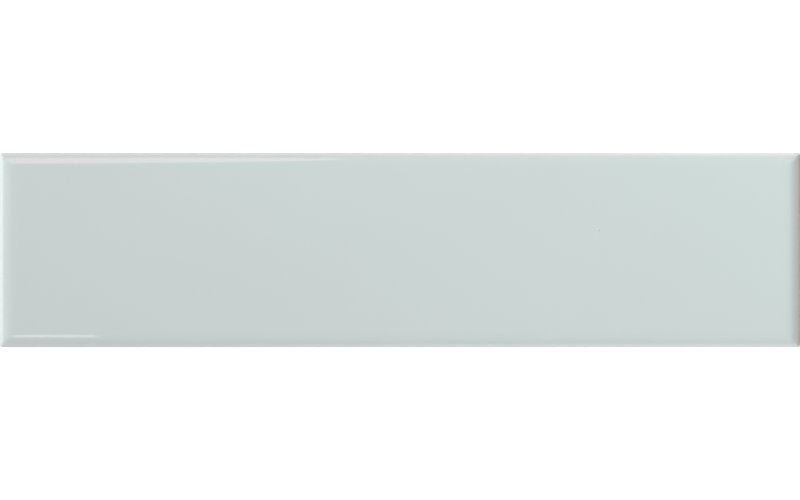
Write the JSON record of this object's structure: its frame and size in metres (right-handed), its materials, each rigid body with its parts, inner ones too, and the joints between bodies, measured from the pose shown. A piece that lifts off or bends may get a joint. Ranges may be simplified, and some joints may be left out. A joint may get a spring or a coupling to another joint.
{
  "type": "subway tile",
  "caption": "Long narrow glazed ceramic wall tile with a flat glossy face, cushioned edges and a ribbed keyed back, bonded to a wall in rows.",
  "frame": {"origin": "centre of the back, on the plane of the rib tops that the tile lies on", "axes": "+X along the length, +Y across the width, +Z out of the glazed face"},
  "size_m": [0.3, 0.0728, 0.0085],
  "materials": {
    "glazed_tile": "gloss"
  },
  "bodies": {
    "root": {"subway_tile": "glazed_tile"}
  },
  "joints": []
}
